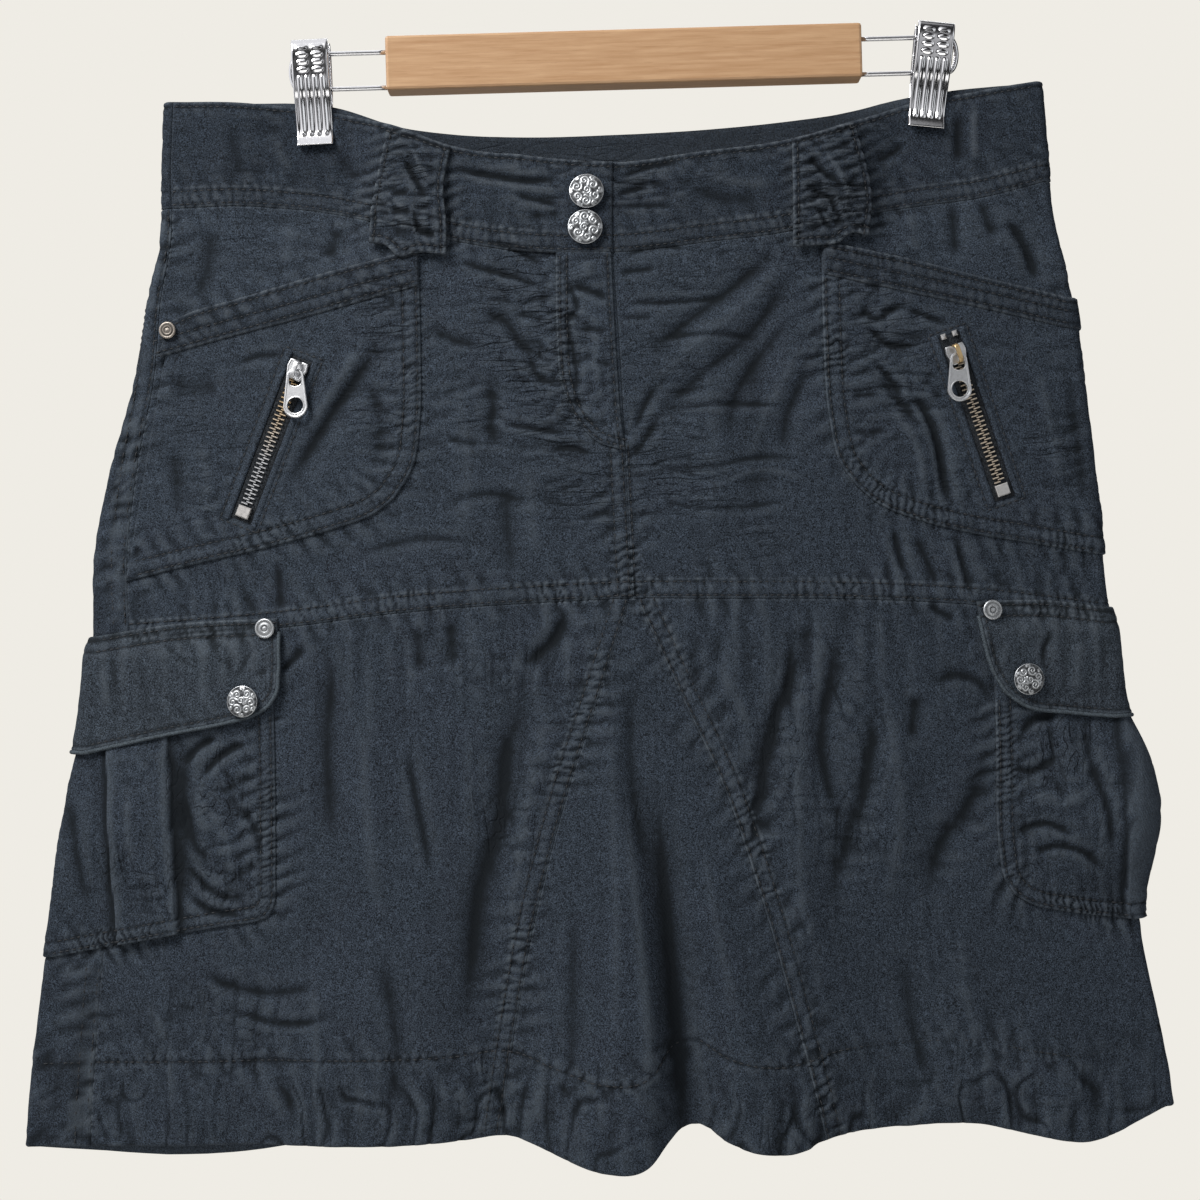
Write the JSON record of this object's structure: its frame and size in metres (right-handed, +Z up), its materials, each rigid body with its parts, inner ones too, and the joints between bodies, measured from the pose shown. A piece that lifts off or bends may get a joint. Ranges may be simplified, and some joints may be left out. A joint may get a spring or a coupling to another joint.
{
  "type": "cargo skirt on a clip hanger",
  "caption": "Cotton cargo skirt with zipped hip pockets, pleated side pockets under buttoned flaps and a flared front insert, held by its waistband in a wooden clip hanger.",
  "frame": {"origin": "middle of the top face of the hanger's wooden bar, where the hanger is held", "axes": "+Z up, the skirt's front faces -Y, +X to the right of someone looking at the front"},
  "size_m": [0.5175, 0.1003, 0.5055],
  "materials": {
    "cloth": "matt cotton poplin, washed dark blue-grey",
    "band": "matt cotton poplin, a little darker where doubled",
    "flap": "matt cotton poplin, worn a little lighter",
    "piping": "smooth covered cord, paler grey",
    "tape": "near-black woven zip tape",
    "pewter": "antique silver with dark recesses",
    "zip_metal": "pale cast zip metal",
    "chrome": "bright plated pressed steel",
    "wood": "pale satin wood, grain along the bar"
  },
  "bodies": {
    "root": {"waistband_front_left": "band", "waistband_front_right": "band", "waistband_back": "band", "front_hip_left": "cloth", "front_hip_right": "cloth", "fly": "cloth", "front_lower_left": "cloth", "front_lower_right": "cloth", "godet": "cloth", "back_left": "cloth", "back_right": "cloth", "hip_pocket_left": "cloth", "hip_pocket_right": "cloth", "pocket_band_left": "band", "pocket_band_right": "band", "zip_tape_left": "tape", "zip_tape_right": "tape", "zip_slider_left": "zip_metal", "zip_slider_right": "zip_metal", "cargo_pocket_left": "cloth", "cargo_pocket_right": "cloth", "flap_left": "flap", "flap_right": "flap", "flap_piping_left": "piping", "flap_piping_right": "piping", "belt_loop_front_left": "band", "belt_loop_front_right": "band", "belt_loop_back": "band", "waist_button_upper": "pewter", "waist_button_lower": "pewter", "flap_button_left": "pewter", "flap_button_right": "pewter", "flap_rivet_left": "pewter", "flap_rivet_right": "pewter", "hip_rivet_left": "pewter", "hip_rivet_right": "pewter", "hanger_bar": "wood", "hanger_wire_left": "chrome", "hanger_wire_right": "chrome", "clip_front_left": "chrome", "clip_back_left": "chrome", "clip_front_right": "chrome", "clip_back_right": "chrome"},
    "pull_left": {"zip_pull_left": "zip_metal"},
    "pull_right": {"zip_pull_right": "zip_metal"}
  },
  "joints": [
    {"name": "zip_pull_left_swing", "type": "hinge", "parent": "root", "child": "pull_left", "pos_m": [-0.14936, -0.01757, -0.14932], "axis": [-0.9924, 0.1233, 0], "range_deg": [0, 150]},
    {"name": "zip_pull_right_swing", "type": "hinge", "parent": "root", "child": "pull_right", "pos_m": [0.14435, -0.01529, -0.14998], "axis": [-0.9915, -0.1299, 0], "range_deg": [0, 150]}
  ]
}
